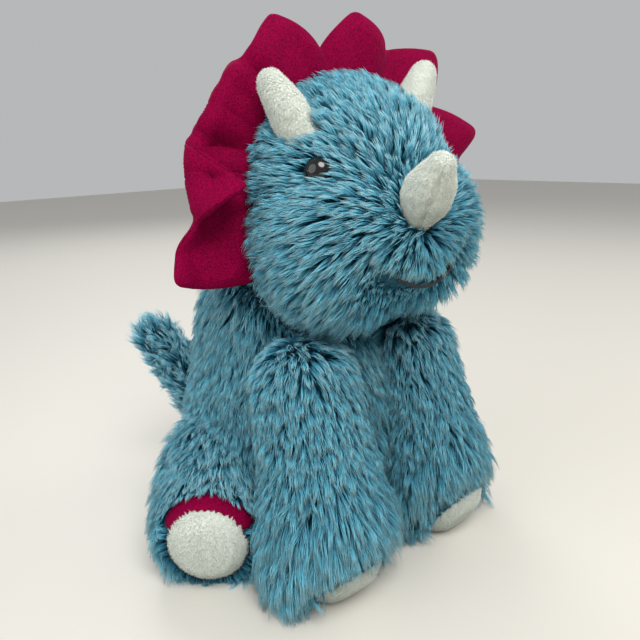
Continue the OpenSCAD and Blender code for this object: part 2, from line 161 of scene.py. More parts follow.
class Nodes:
    """A material's node tree with short calls."""

    def __init__(self, name):
        self.material = bpy.data.materials.new(name)
        self.material.use_nodes = True
        self.tree = self.material.node_tree
        self.shader = self.tree.nodes["Principled BSDF"]

    def add(self, kind, **settings):
        node = self.tree.nodes.new(kind)
        for key, value in settings.items():
            setattr(node, key, value)
        return node

    def link(self, source, target):
        self.tree.links.new(source, target)

    def set(self, **values):
        for key, value in values.items():
            self.shader.inputs[key.replace("_", " ")].default_value = value

    def ramp(self, source, stops):
        node = self.add("ShaderNodeValToRGB")
        elements = node.color_ramp.elements
        while len(elements) < len(stops):
            elements.new(0.5)
        for element, (at, colour) in zip(elements, stops):
            element.position = at
            element.color = colour
        self.link(source, node.inputs["Fac"])
        return node.outputs["Color"]

    def noise(self, scale, detail):
        node = self.add("ShaderNodeTexNoise")
        where = self.add("ShaderNodeTexCoord")
        self.link(where.outputs["Object"], node.inputs["Vector"])
        node.inputs["Scale"].default_value = scale
        node.inputs["Detail"].default_value = detail
        node.inputs["Roughness"].default_value = 0.6
        return node.outputs["Fac"]

    def bump(self, source, strength, distance):
        node = self.add("ShaderNodeBump")
        node.inputs["Strength"].default_value = strength
        node.inputs["Distance"].default_value = distance
        self.link(source, node.inputs["Height"])
        self.link(node.outputs["Normal"], self.shader.inputs["Normal"])


def fur_material(name, stops, tints, roughness=0.55):
    """Colour along each strand from stops and over the strands from tints, both read from the strand's UV. The
    stops darken towards the root as painted shade among the strands.
    """
    m = Nodes(name)
    uv = m.add("ShaderNodeUVMap", uv_map="OFBake")
    parts = m.add("ShaderNodeSeparateXYZ")
    m.link(uv.outputs["UV"], parts.inputs["Vector"])
    along = m.ramp(parts.outputs["Y"], stops)
    tint = m.ramp(parts.outputs["X"], tints)
    both = m.add("ShaderNodeMix", data_type="RGBA", blend_type="MULTIPLY")
    both.inputs["Factor"].default_value = 1.0
    m.link(along, both.inputs["A"])
    m.link(tint, both.inputs["B"])
    m.link(both.outputs["Result"], m.shader.inputs["Base Color"])
    m.set(Roughness=roughness, Specular_IOR_Level=0.35)
    return m.material


NO_TINT = (1, 1, 1, 1)


def cloth_material(
    name, dark, light, scale, roughness=0.9, specular=0.2, sheen=0.0, sheen_tint=NO_TINT, bump=0.3
):
    """A mottled cloth with a fine grain."""
    m = Nodes(name)
    fac = m.noise(scale, 4.0)
    m.link(m.ramp(fac, [(0.3, dark), (0.7, light)]), m.shader.inputs["Base Color"])
    m.bump(fac, bump, 0.0005)
    m.set(Roughness=roughness, Specular_IOR_Level=specular)
    m.set(Sheen_Weight=sheen, Sheen_Roughness=0.4, Sheen_Tint=sheen_tint)
    return m.material


make_camera()
make_stage()

# Along each strand: a near-black root, which is painted shade among the strands, up to a pale tip, which is
# partly the pile's own light tips and partly a painted highlight.
BLUE_FUR = fur_material(
    "long_pile_blue",
    [
        (0.0, linear(4, 40, 56)),
        (0.3, linear(40, 116, 144)),
        (0.65, linear(102, 184, 206)),
        (1.0, linear(200, 236, 242)),
    ],
    [(0.0, (0.5, 0.58, 0.62, 1)), (0.5, (0.9, 0.93, 0.94, 1)), (1.0, (1.0, 1.0, 1.0, 1))],
)
# Darker at the root as painted shade among the strands, lighter at the tip.
SHORT_BLUE_FUR = fur_material(
    "short_pile_blue",
    [(0.0, linear(40, 92, 108)), (1.0, linear(120, 178, 196))],
    [(0.0, (0.8, 0.84, 0.86, 1)), (1.0, (1.0, 1.0, 1.0, 1))],
)
# Darker at the root as painted shade among the strands, lighter at the tip.
CREAM_FUR = fur_material(
    "glitter_cream",
    [(0.0, linear(170, 176, 168)), (0.5, linear(214, 219, 210)), (1.0, linear(240, 243, 236))],
    [(0.0, (0.82, 0.86, 0.85, 1)), (0.7, (0.97, 0.98, 0.97, 1)), (1.0, (1.0, 1.0, 1.0, 1))],
    roughness=0.4,
)
BLUE_CLOTH = cloth_material("blue_cloth", linear(20, 62, 76), linear(40, 92, 108), 900)
CREAM_CLOTH = cloth_material(
    "cream_cloth",
    linear(176, 182, 174),
    linear(222, 226, 218),
    1400,
    roughness=0.55,
)
VELVET = cloth_material(
    "velvet_magenta",
    linear(62, 0, 22),
    linear(150, 0, 62),
    1500,
    roughness=0.8,
    specular=0.04,
    sheen=0.12,
    sheen_tint=(1.0, 0.05, 0.3, 1),
    bump=0.2,
)


def plain_material(name, colour, roughness, **more):
    """A dark material with a faint grain."""
    m = Nodes(name)
    darker = tuple(0.8 * c for c in colour[:3]) + (1,)
    fac = m.noise(3000, 2.0)
    m.link(m.ramp(fac, [(0.2, colour), (0.9, darker)]), m.shader.inputs["Base Color"])
    m.set(Roughness=roughness, **more)
    return m.material


EYE_PLASTIC = plain_material("eye_plastic", linear(8, 8, 9), 0.12, Coat_Weight=0.25)
THREAD = plain_material("thread_black", linear(22, 22, 26), 0.7)


# ---------- meshes ----------


def new_object(name, points, faces, material):
    """A mesh object from points in millimetres."""
    mesh = bpy.data.meshes.new(name)
    mesh.from_pydata((np.asarray(points) * MM).tolist(), [], [list(f) for f in faces])
    mesh.polygons.foreach_set("use_smooth", [True] * len(mesh.polygons))
    mesh.materials.append(material)
    mesh.update()
    made = bpy.data.objects.new(name, mesh)
    SCENE.collection.objects.link(made)
    return made


def blob(balls, voxel=2.5, rounds=10):
    """Points and triangles of the smoothed union of balls, each (middle, radius), in millimetres."""
    bpy.ops.mesh.primitive_ico_sphere_add(subdivisions=4, radius=1)
    one = bpy.context.object
    points = np.array([v.co for v in one.data.vertices])
    faces = np.array([p.vertices[:] for p in one.data.polygons])
    bpy.data.objects.remove(one)
    all_points = np.vstack([points * r + c for c, r in balls])
    all_faces = np.vstack([faces + i * len(points) for i in range(len(balls))])
    rough = new_object("rough", all_points, all_faces.tolist(), BLUE_CLOTH)
    remesh = rough.modifiers.new("remesh", "REMESH")
    remesh.mode = "VOXEL"
    remesh.voxel_size = voxel * MM
    smoother = rough.modifiers.new("smooth", "SMOOTH")
    smoother.iterations = rounds
    smoother.factor = 0.5
    cut = rough.modifiers.new("cut", "TRIANGULATE")
    cut.quad_method = "FIXED"
    done = rough.evaluated_get(bpy.context.evaluated_depsgraph_get()).to_mesh()
    points = np.zeros(len(done.vertices) * 3)
    done.vertices.foreach_get("co", points)
    faces = np.zeros(len(done.polygons) * 3, int)
    done.polygons.foreach_get("vertices", faces)
    bpy.data.objects.remove(rough)
    return points.reshape(-1, 3) / MM, faces.reshape(-1, 3)


def limb(a, ra, b, rb, count=9):
    """Balls along a limb."""
    return [(mix(a, b, t), mix(ra, rb, t)) for t in np.linspace(0, 1, count)]


def point_normals(points, faces):
    a, b, c = (points[faces[:, i]] for i in range(3))
    flat = np.cross(b - a, c - a)
    normals = np.zeros_like(points)
    for i in range(3):
        np.add.at(normals, faces[:, i], flat)
    return unit(normals)


class Form:
    """A part's skin, with the pieces of cloth that it is sewn from."""

    def __init__(self, points, faces):
        self.points, self.faces = points, faces
        self.normals = point_normals(points, faces)
        self.centres = points[faces].mean(1)

    def cloth(self, name, keep, material, thickness=0.8):
        """The piece of cloth where keep is true of a face's middle, as a closed thin sheet."""
        faces = self.faces[keep]
        used, index = np.unique(faces, return_inverse=True)
        faces = index.reshape(-1, 3)
        outer = self.points[used]
        inner = outer - thickness * self.normals[used]
        n = len(used)
        edges = np.vstack([faces[:, [0, 1]], faces[:, [1, 2]], faces[:, [2, 0]]])
        known = {(int(a), int(b)) for a, b in edges}
        rim = [(a, b) for a, b in known if (b, a) not in known]
        sides = [(b, a, a + n, b + n) for a, b in rim]
        return new_object(
            name,
            np.vstack([outer, inner]),
            faces.tolist() + (faces[:, ::-1] + n).tolist() + sides,
            material,
        )

    def roots(self, rng, density, keep):
        """Random points on the faces where keep is true, with their normals."""
        faces = self.faces[keep]
        a, b, c = (self.points[faces[:, i]] for i in range(3))
        area = np.linalg.norm(np.cross(b - a, c - a), axis=1) / 2
        count = int(area.sum() * density)
        pick = rng.choice(len(faces), count, p=area / area.sum())
        r1, r2 = np.sqrt(rng.random((count, 1))), rng.random((count, 1))
        weights = np.hstack([1 - r1, r1 * (1 - r2), r1 * r2])[:, :, None]
        chosen = faces[pick]
        return (self.points[chosen] * weights).sum(1), unit((self.normals[chosen] * weights).sum(1))


# ---------- fur ----------


def nearest(points, centres):
    """The index of the nearest centre for each point."""
    out = np.zeros(len(points), int)
    squares = (centres**2).sum(1)
    for i in range(0, len(points), 2000):
        block = points[i : i + 2000]
        out[i : i + 2000] = (squares - 2 * block @ centres.T).argmin(1)
    return out


SEGMENTS = 3  # of each long strand


def courses(roots, normals, flow, lengths, lift, sag):
    """The line of each strand: roots, then SEGMENTS more points."""
    tangent = unit(flow - (flow * normals).sum(1, keepdims=True) * normals)
    line = [roots]
    for i in range(SEGMENTS):
        t = i / (SEGMENTS - 1)
        up = mix(lift, 0.3 * lift, t)[:, None]
        step = unit(up * normals + (1.05 - up) * tangent + vec(0, 0, -sag * t))
        line.append(line[-1] + step * (lengths / SEGMENTS)[:, None])
    return np.stack(line, 1)


def strands(name, line, radii, tints, material, floor=0.3):
    """One mesh of three-sided tapering strands along the lines."""
    count, stations = line.shape[:2]
    line = line.copy()
    line[:, :, 2] = np.maximum(line[:, :, 2], floor)
    ahead = unit(np.gradient(line, axis=1))
    side = unit(np.cross(ahead, vec(0.31, 0.17, 0.93)))
    other = np.cross(ahead, side)
    taper = [1.0, 1.0, 0.72]
    rings = []
    for s in range(stations - 1):
        r = (radii * taper[s])[:, None]
        for k in range(3):
            angle = 2 * math.pi * k / 3
            rings.append(line[:, s] + r * (math.cos(angle) * side[:, s] + math.sin(angle) * other[:, s]))
    rings.append(line[:, -1])
    points = np.stack(rings, 1)
    per = points.shape[1]
    pattern = [(0, 2, 1)]
    for s in range(stations - 2):
        for k in range(3):
            a, b = 3 * s + k, 3 * s + (k + 1) % 3
            pattern += [(a, b, b + 3), (a, b + 3, a + 3)]
    last = 3 * (stations - 2)
    pattern += [(last + k, last + (k + 1) % 3, per - 1) for k in range(3)]
    pattern = np.array(pattern)
    faces = (pattern[None] + (np.arange(count) * per)[:, None, None]).reshape(-1, 3)
    mesh = bpy.data.meshes.new(name)
    mesh.vertices.add(count * per)
    mesh.vertices.foreach_set("co", (points * MM).astype(np.float32).ravel())
    mesh.loops.add(len(faces) * 3)
    mesh.loops.foreach_set("vertex_index", faces.astype(np.int32).ravel())
    mesh.polygons.add(len(faces))
    mesh.polygons.foreach_set("loop_start", np.arange(0, len(faces) * 3, 3, dtype=np.int32))
    mesh.polygons.foreach_set("use_smooth", np.ones(len(faces), bool))
    mesh.update(calc_edges=True)
    along = np.repeat(np.arange(stations - 1), 3) / (stations - 1)
    along = np.append(along, 1.0)
    across = np.append(np.tile([0.0, 0.012, 0.024], stations - 1), 0.012)
    uv = np.zeros((count, per, 2))
    uv[:, :, 0] = np.clip(0.02 + 0.94 * tints[:, None] + across[None], 0, 1)
    uv[:, :, 1] = 0.02 + 0.96 * along[None]
    layer = mesh.uv_layers.new(name="OFBake")
    layer.data.foreach_set("uv", uv.reshape(-1, 2)[faces.ravel()].astype(np.float32).ravel())
    mesh.materials.append(material)
    made = bpy.data.objects.new(name, mesh)
    SCENE.collection.objects.link(made)
    return made


MOST_STRANDS = 12000  # in one piece


def long_fur(name, seed, form, keep, flow, length, trim=None, density=1.3, clump=2.3, spread=0.22):
    """Long clumped pile on part of a form, as a list of pieces.

    flow gives the combing, from roots and normals. length gives the pile's length, and trim which roots
    stay, both from roots.
    """
    rng = np.random.default_rng(seed)
    roots, normals = form.roots(rng, density, keep)
    if trim is not None:
        stays = trim(roots)
        roots, normals = roots[stays], normals[stays]
    count = len(roots)
    leaders = rng.choice(count, max(4, int(count / (density * clump**2))), replace=False)
    home = nearest(roots, roots[leaders])
    lead_flow = flow(roots[leaders], normals[leaders]) + rng.normal(0, spread, (len(leaders), 3))
    lead_length = length(roots[leaders]) * rng.uniform(0.8, 1.15, len(leaders))
    lead_lift = rng.uniform(0.45, 0.8, len(leaders))
    lead = courses(roots[leaders], normals[leaders], lead_flow, lead_length, lead_lift, 0.15)
    own_flow = lead_flow[home] + rng.normal(0, 0.12, (count, 3))
    own_length = lead_length[home] * rng.uniform(0.75, 1.08, count)
    own_lift = np.clip(lead_lift[home] + rng.normal(0, 0.06, count), 0.2, 0.95)
    line = courses(roots, normals, own_flow, own_length, own_lift, 0.15)
    pull = np.array([0.0, 0.25, 0.55, 0.75])[None, :, None] * rng.uniform(0.6, 1.05, (count, 1, 1))
    line = line + (lead[home] - line) * pull
    line[:, 1:] += rng.normal(0, 0.25, (count, SEGMENTS, 3))
    tints = np.clip(rng.normal(0.5, 0.2, len(leaders))[home] + rng.normal(0, 0.2, count), 0, 1)
    radii = rng.uniform(0.15, 0.29, count)
    shares = -(-count // MOST_STRANDS)
    return [
        strands("%s_%d" % (name, i + 1), line[i::shares], radii[i::shares], tints[i::shares], BLUE_FUR)
        for i in range(shares)
    ]


def short_fur(name, seed, form, keep, flow, length, density, material, radius):
    """Short even pile."""
    rng = np.random.default_rng(seed)
    roots, normals = form.roots(rng, density, keep)
    count = len(roots)
    direction = unit(normals + 0.6 * unit(flow) + rng.normal(0, 0.35, (count, 3)))
    tips = roots + direction * (length * rng.uniform(0.7, 1.2, count))[:, None]
    line = np.stack([roots - 0.3 * normals, tips], 1)
    tints = np.clip(rng.normal(0.6, 0.2, count), 0, 1)
    return strands(name, line, np.full(count, radius), tints, material, floor=0.1)


# ---------- the head's own frame ----------

TURN_AXIS = unit(np.array(JOINTS["head_nod"]["axis"], float))
HEAD_AT = joint_at("head_nod") + vec(0, 4, 12)
HEAD_Y = unit(vec(-TURN_AXIS[1], TURN_AXIS[0], 0))
HEAD_X = middle("eye_left") - middle("eye_right")
HEAD_X = unit(HEAD_X - HEAD_X @ HEAD_Y * HEAD_Y)
HEAD_Z = np.cross(HEAD_X, HEAD_Y)
HEAD_AXES = np.array([HEAD_X, HEAD_Y, HEAD_Z])


def to_head(p):
    return (np.asarray(p) - HEAD_AT) @ HEAD_AXES.T


def from_head(p):
    return np.asarray(p) @ HEAD_AXES + HEAD_AT


def head_vector(v):
    return np.asarray(v) @ HEAD_AXES


def body_piece(obj, body, slot, *nodes, fill=None):
    """Puts a piece, or each of a list, on its body and hides the nodes it replaces. The slot and the padding
    (fill) are not used.
    """
    if isinstance(obj, list):
        return [body_piece(each, body, slot, *nodes, fill=fill) for each in obj]
    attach(obj, body)
    if nodes:
        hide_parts(*nodes)
    return obj


# ---------- torso ----------

PIVOT = joint_at("head_nod")
LEGS = {
    "front_left": (joint_at("shoulder_left"), vec(3, -20, -84), 22.5, 28.0),
    "front_right": (joint_at("shoulder_right"), vec(-3, -20, -84), 22.5, 28.0),
    "hind_left": (joint_at("hip_left"), vec(34, -33.9, -14), 30.0, 28.0),
    "hind_right": (joint_at("hip_right"), vec(-28, -28, -14), 30.0, 28.0),
}


DISH_R = 72.5  # of the torso's hollow round the neck's pivot


def make_torso():
    points, faces = blob(limb(vec(0, 0, 54), 64, vec(0, 0, 126), 50) + [(vec(0, -4, 84), 59)])
    points[:, 2] = np.maximum(points[:, 2], 1.5)
    off = points - PIVOT
    far = np.linalg.norm(off, axis=1)
    inside = far < DISH_R
    points[inside] = PIVOT + off[inside] * (DISH_R / far[inside])[:, None]
    form = Form(points, faces)
    c = form.centres
    upper = c[:, 2] > 16
    belly = c[:, 1] < -24
    parts = {
        "torso_seat": ~upper,
        "torso_belly": upper & belly,
        "torso_back_left": upper & ~belly & (c[:, 0] > 0),
        "torso_back_right": upper & ~belly & (c[:, 0] <= 0),
    }

    def at_nape(p):
        """1 at the hollow's rim behind and beside the neck, 0 away from it."""
        return smooth_step(-np.linalg.norm(p - PIVOT, axis=1), -86, -75) * smooth_step(p[:, 1], -25, 5)

    def flow(p, n):
        return vec(0, 0, -1) + (0.25 + 1.3 * at_nape(p)[:, None]) * n

    def length(p):
        out_of_dish = smooth_step(np.linalg.norm(p - PIVOT, axis=1), DISH_R + 0.1, 77)
        return (17 - 5 * smooth_step(-p[:, 2], -16, 0) + 6 * at_nape(p)) * (0.4 + 0.6 * out_of_dish)

    def trim(p):
        """No pile under the legs' roots or on the floor."""
        out = np.ones(len(p), bool)
        for top, reach, r0, r1 in LEGS.values():
            t = np.clip(((p - top) @ reach) / (reach @ reach), 0, 1)[:, None]
            gap = np.linalg.norm(p - top - t * reach, axis=1) - mix(r0, r1, t[:, 0])
            out &= gap > -4
        return out & (p[:, 2] > 4)

    for i, (node, keep) in enumerate(parts.items()):
        inner = ("torso_stuffing", "pellet_bag", "pellets") if node == "torso_seat" else ()
        cloth = form.cloth(node + "_cloth", keep, BLUE_CLOTH)
        body_piece(cloth, "torso", "long_pile_blue", node, *inner, fill=0.8)
        fur = long_fur(node + "_fur", 10 + i, form, keep, flow, length, trim)
        body_piece(fur, "torso", "long_pile_blue")


def make_neck():
    """The stuffed neck in its blue cloth, between the head and the torso's hollow."""
    lean = math.radians(40)
    opening_max = math.asin(26 / 70)
    axis = unit(vec(0, math.sin(lean), -math.cos(lean)))
    side = vec(1, 0, 0)
    other = np.cross(axis, side)
    rings, spokes = 10, 40
    points, faces = [], []
    for radius in (70.6, 69.9):
        for i in range(rings + 1):
            opening = opening_max * i / rings
            for k in range(spokes):
                a = 2 * math.pi * k / spokes
                d = math.cos(opening) * axis + math.sin(opening) * (math.cos(a) * side + math.sin(a) * other)
                points.append(PIVOT + radius * d)
    half = (rings + 1) * spokes
    for i in range(rings):
        for k in range(spokes):
            a, b = i * spokes + k, i * spokes + (k + 1) % spokes
            faces.append((a, b, b + spokes, a + spokes))
            faces.append((a + half, a + spokes + half, b + spokes + half, b + half))
    for k in range(spokes):
        a, b = rings * spokes + k, rings * spokes + (k + 1) % spokes
        faces.append((a, b, b + half, a + half))
    cloth = new_object("neck_cloth", points, faces, BLUE_CLOTH)
    body_piece(cloth, "neck", "long_pile_blue", "neck_stuffing", fill=0.7)


# ---------- head ----------

FACE = vec(0, -62, -21)  # the point that the face's pile is combed away from
SKULL_R, CHEEK_R, MUZZLE_R = 49.0, 39.5, 34.0
EYES = {side: to_head(middle("eye_" + side)) for side in ("left", "right")}
MOUTH_Z = -46.0
MOUTH_HALF = 18.0


def mouth_line(x):
    """Height of the smiling mouth over the muzzle's width."""
    return MOUTH_Z - 2 + 7 * (np.clip(x / MOUTH_HALF, -1, 1)) ** 2


def from_mouth(h):
    """Distance of points in the head's frame from the mouth, as seen from the front."""
    return np.hypot(np.maximum(np.abs(h[:, 0]) - MOUTH_HALF, 0), h[:, 2] - mouth_line(h[:, 0]))


BROW_BASE, BROW_TO = vec(36, -17, 32), vec(10, 7.5, 26)
NOSE_BASE, NOSE_TO = vec(0, -61, -10), vec(0, -17, 22)


def make_head():
    balls = [
        (vec(0, 0, 0), SKULL_R),
        (vec(18, -16, -26), CHEEK_R),
        (vec(-18, -16, -26), CHEEK_R),
        (vec(0, -28, -26), MUZZLE_R),
        (vec(8, -24, -20), MUZZLE_R),
        (vec(-8, -24, -20), MUZZLE_R),
    ]
    points, faces = blob([(from_head(c), r) for c, r in balls], rounds=14)
    form = Form(points, faces)
    c = to_head(form.centres)
    jaw = c[:, 2] < MOUTH_Z
    gusset = (np.abs(c[:, 0]) < 16) & (c[:, 2] > -9)
    parts = {
        "head_jaw": jaw,
        "head_gusset": gusset & ~jaw,
        "head_side_left": ~jaw & ~gusset & (c[:, 0] > 0),
        "head_side_right": ~jaw & ~gusset & (c[:, 0] <= 0),
    }

    def flow(p, n):
        h = to_head(p)
        away = unit(h - FACE)
        back = smooth_step(h[:, 1], -20, 30)[:, None]
        low = smooth_step(-h[:, 2], 10, 60)[:, None]
        down = vec(0, 0, -1)
        return head_vector(away * (1 - 0.5 * back) + down * (0.15 + 0.55 * back + 0.35 * low))

    def length(p):
        h = to_head(p)
        out = np.full(len(p), 15.5)
        out -= 3.5 * smooth_step(h[:, 2], 0, 40)
        out += 4.0 * smooth_step(-h[:, 2], 25, 60)
        for eye in EYES.values():
            out *= 0.55 + 0.45 * smooth_step(np.linalg.norm(h - eye, axis=1), 4, 13)
        nose = np.linalg.norm(h - (NOSE_BASE + 0.2 * NOSE_TO), axis=1)
        out *= 0.5 + 0.5 * smooth_step(nose, 12, 26)
        lip = from_mouth(h)
        front = smooth_step(-h[:, 1], 36, 46)
        above = (h[:, 2] > mouth_line(h[:, 0])) * 5.0
        return out * (1 - front * (0.9 - 0.9 * smooth_step(lip, 2.5, 13 + above)))

    def trim(p):
        h = to_head(p)
        out = np.ones(len(p), bool)
        for eye in EYES.values():
            out &= np.linalg.norm(h - eye, axis=1) > 6.0
        for side in (-1, 1):
            base = unit(BROW_BASE) * SKULL_R * vec(side, 1, 1)
            out &= np.linalg.norm(h - base, axis=1) > 8.5
        out &= np.linalg.norm(h - NOSE_BASE, axis=1) > 10.5
        lip = from_mouth(h)
        out &= (lip > 2.4) | (h[:, 1] > -45)
        return out

    for i, (node, keep) in enumerate(parts.items()):
        inner = ("head_stuffing", "eye_washer_left", "eye_washer_right") if node == "head_jaw" else ()
        cloth = form.cloth(node + "_cloth", keep, BLUE_CLOTH)
        body_piece(cloth, "head", "long_pile_blue", node, *inner, fill=0.85)
        fur = long_fur(node + "_fur", 20 + i, form, keep, flow, length, trim, 1.4, 2.2, 0.18)
        body_piece(fur, "head", "long_pile_blue")


def revolve(profile, spokes, base, axis, wobble=None):
    """Points and triangles of a closed body of revolution; profile is (height, radius), from the bottom up."""
    axis = unit(axis)
    side = unit(np.cross(axis, vec(0.2, 1, 0.1)))
    other = np.cross(axis, side)
    points, faces = [base + axis * profile[0][0]], []
    for height, radius in profile[1:-1]:
        for k in range(spokes):
            a = 2 * math.pi * k / spokes
            r = radius * (1 if wobble is None else wobble(height, a))
            points.append(base + axis * height + r * (math.cos(a) * side + math.sin(a) * other))
    points.append(base + axis * profile[-1][0])
    rings = len(profile) - 2
    for k in range(spokes):
        n = (k + 1) % spokes
        faces.append((0, 1 + n, 1 + k))
        for i in range(rings - 1):
            a, b = 1 + i * spokes + k, 1 + i * spokes + n
            faces += [(a, b, b + spokes), (a, b + spokes, a + spokes)]
        top = 1 + (rings - 1) * spokes
        faces.append((top + k, top + n, len(points) - 1))
    return np.array(points), np.array(faces)


def make_horn(node, seed, base, to, length, base_r, bulge, tip_r, seam):
    """A stuffed horn: its sides swell, and a seam runs up its front."""
    sunk = -8.0
    profile = [(sunk, 0.0)]
    for t in np.linspace(0, 1, 26)[:-1]:
        r = mix(base_r, tip_r, t**1.25) + bulge * math.sin(math.pi * min(1, t * 1.15)) ** 1.2
        cap = math.sqrt(max(0.0, 1 - max(0.0, (t - 0.8) / 0.2) ** 2.4))
        profile.append((mix(sunk, length, t), max(r * cap, 0.4)))
    profile.append((length, 0.0))

    def wobble(height, a):
        groove = 0.10 * math.exp(-(((a - seam + math.pi) % (2 * math.pi) - math.pi) / 0.16) ** 2)
        return 1 - groove + 0.02 * math.sin(3 * a + 0.4 * height) + 0.015 * math.sin(5 * a - 0.7 * height)

    points, faces = revolve(profile, 56, base, to, wobble)
    form = Form(from_head(points), faces)
    all_faces = np.ones(len(faces), bool)
    cloth = new_object(node + "_cloth", form.points, form.faces.tolist(), CREAM_CLOTH)
    body_piece(cloth, "head", "glitter_cream", node, node + "_stuffing", fill=0.85)
    flow = head_vector(unit(to))[None]
    pile = short_fur(node + "_pile", seed, form, all_faces, flow, 1.3, 7.0, CREAM_FUR, radius=0.13)
    body_piece(pile, "head", "glitter_cream")


def make_horns():
    for i, (side, name) in enumerate(((1, "left"), (-1, "right"))):
        base = unit(BROW_BASE) * (SKULL_R + 1) * vec(side, 1, 1)
        to = (BROW_TO + vec(7, -4, -4) * (side > 0)) * vec(side, 1, 1)
        make_horn("brow_horn_" + name, 40 + i, base, to, 29.0, 10.0, 0.8, 5.4, 4.7)
    make_horn("nose_horn", 42, NOSE_BASE, NOSE_TO, 29.5, 7.2, 4.6, 6.0, 1.2)


def make_eyes_and_mouth():
    for side, at in EYES.items():
        out = unit(at)
        profile = [(-6.0, 0.0), (-5.9, 4.0), (-1.5, 6.6)]
        profile += [(5.2 * math.sin(a), 6.8 * math.cos(a)) for a in np.linspace(0, 1.5, 14)]
        profile.append((5.22, 0.0))
        points, faces = revolve(profile, 48, out * (SKULL_R + 3.0), out)
        eye = new_object("eye_%s_dome" % side, from_head(points), faces.tolist(), EYE_PLASTIC)
        body_piece(eye, "head", "eye_plastic", "eye_" + side)
    course = []
    for x in np.linspace(-MOUTH_HALF, MOUTH_HALF, 41):
        height = mouth_line(x)
        reach = math.sqrt(38.8**2 - (height + 26) ** 2 - x * x)
        course.append(vec(x, -28 - reach - 3.0, height))
    course = np.array(course)
    ahead = unit(np.gradient(course, axis=0))
    points, faces, spokes = [], [], 8
    for i, (p, d) in enumerate(zip(course, ahead)):
        side = unit(np.cross(d, vec(0, 0, 1)))
        other = np.cross(d, side)
        r = 0.85 + 0.1 * math.sin(i * 1.9)
        around = np.arange(spokes) * 2 * math.pi / spokes
        points += [p + r * (math.cos(a) * side + math.sin(a) * other) for a in around]
    for i in range(len(course) - 1):
        for k in range(spokes):
            a, b = i * spokes + k, i * spokes + (k + 1) % spokes
            faces.append((a, b, b + spokes, a + spokes))
    faces += [tuple(range(spokes))[::-1], tuple((len(course) - 1) * spokes + k for k in range(spokes))]
    mouth = new_object("mouth_thread", from_head(np.array(points)), faces, THREAD)
    body_piece(mouth, "head", "thread_black", "mouth_stitching")


# ---------- frill ----------

FRILL_REACH = 110.0
FRILL_Y = 4.0
# direction and share of the reach, from the lowest notch on the toy's left over the top to its right
FRILL_EDGE = [
    (-36, 0.66), (-18.8, 1.07), (-0.6, 0.81), (7.1, 0.99), (23.5, 0.73), (38, 0.90), (55, 0.71), (74, 0.80),
    (90, 0.60), (106, 0.81), (125, 0.72), (142, 0.90), (156.5, 0.75), (172.9, 0.98), (184, 0.80), (198, 1.0),
    (216, 0.66),
]


def frill_edge(angle):
    """The edge's distance from the skull's middle in a direction, with rounded points and notches."""
    span = np.array([a for a, _ in FRILL_EDGE])
    reach = np.array([r for _, r in FRILL_EDGE]) * FRILL_REACH
    out = np.zeros_like(angle)
    for d, w in ((-1.6, 0.2), (-0.8, 0.2), (0, 0.2), (0.8, 0.2), (1.6, 0.2)):
        out += w * np.interp(angle + d, span, reach)
    return out


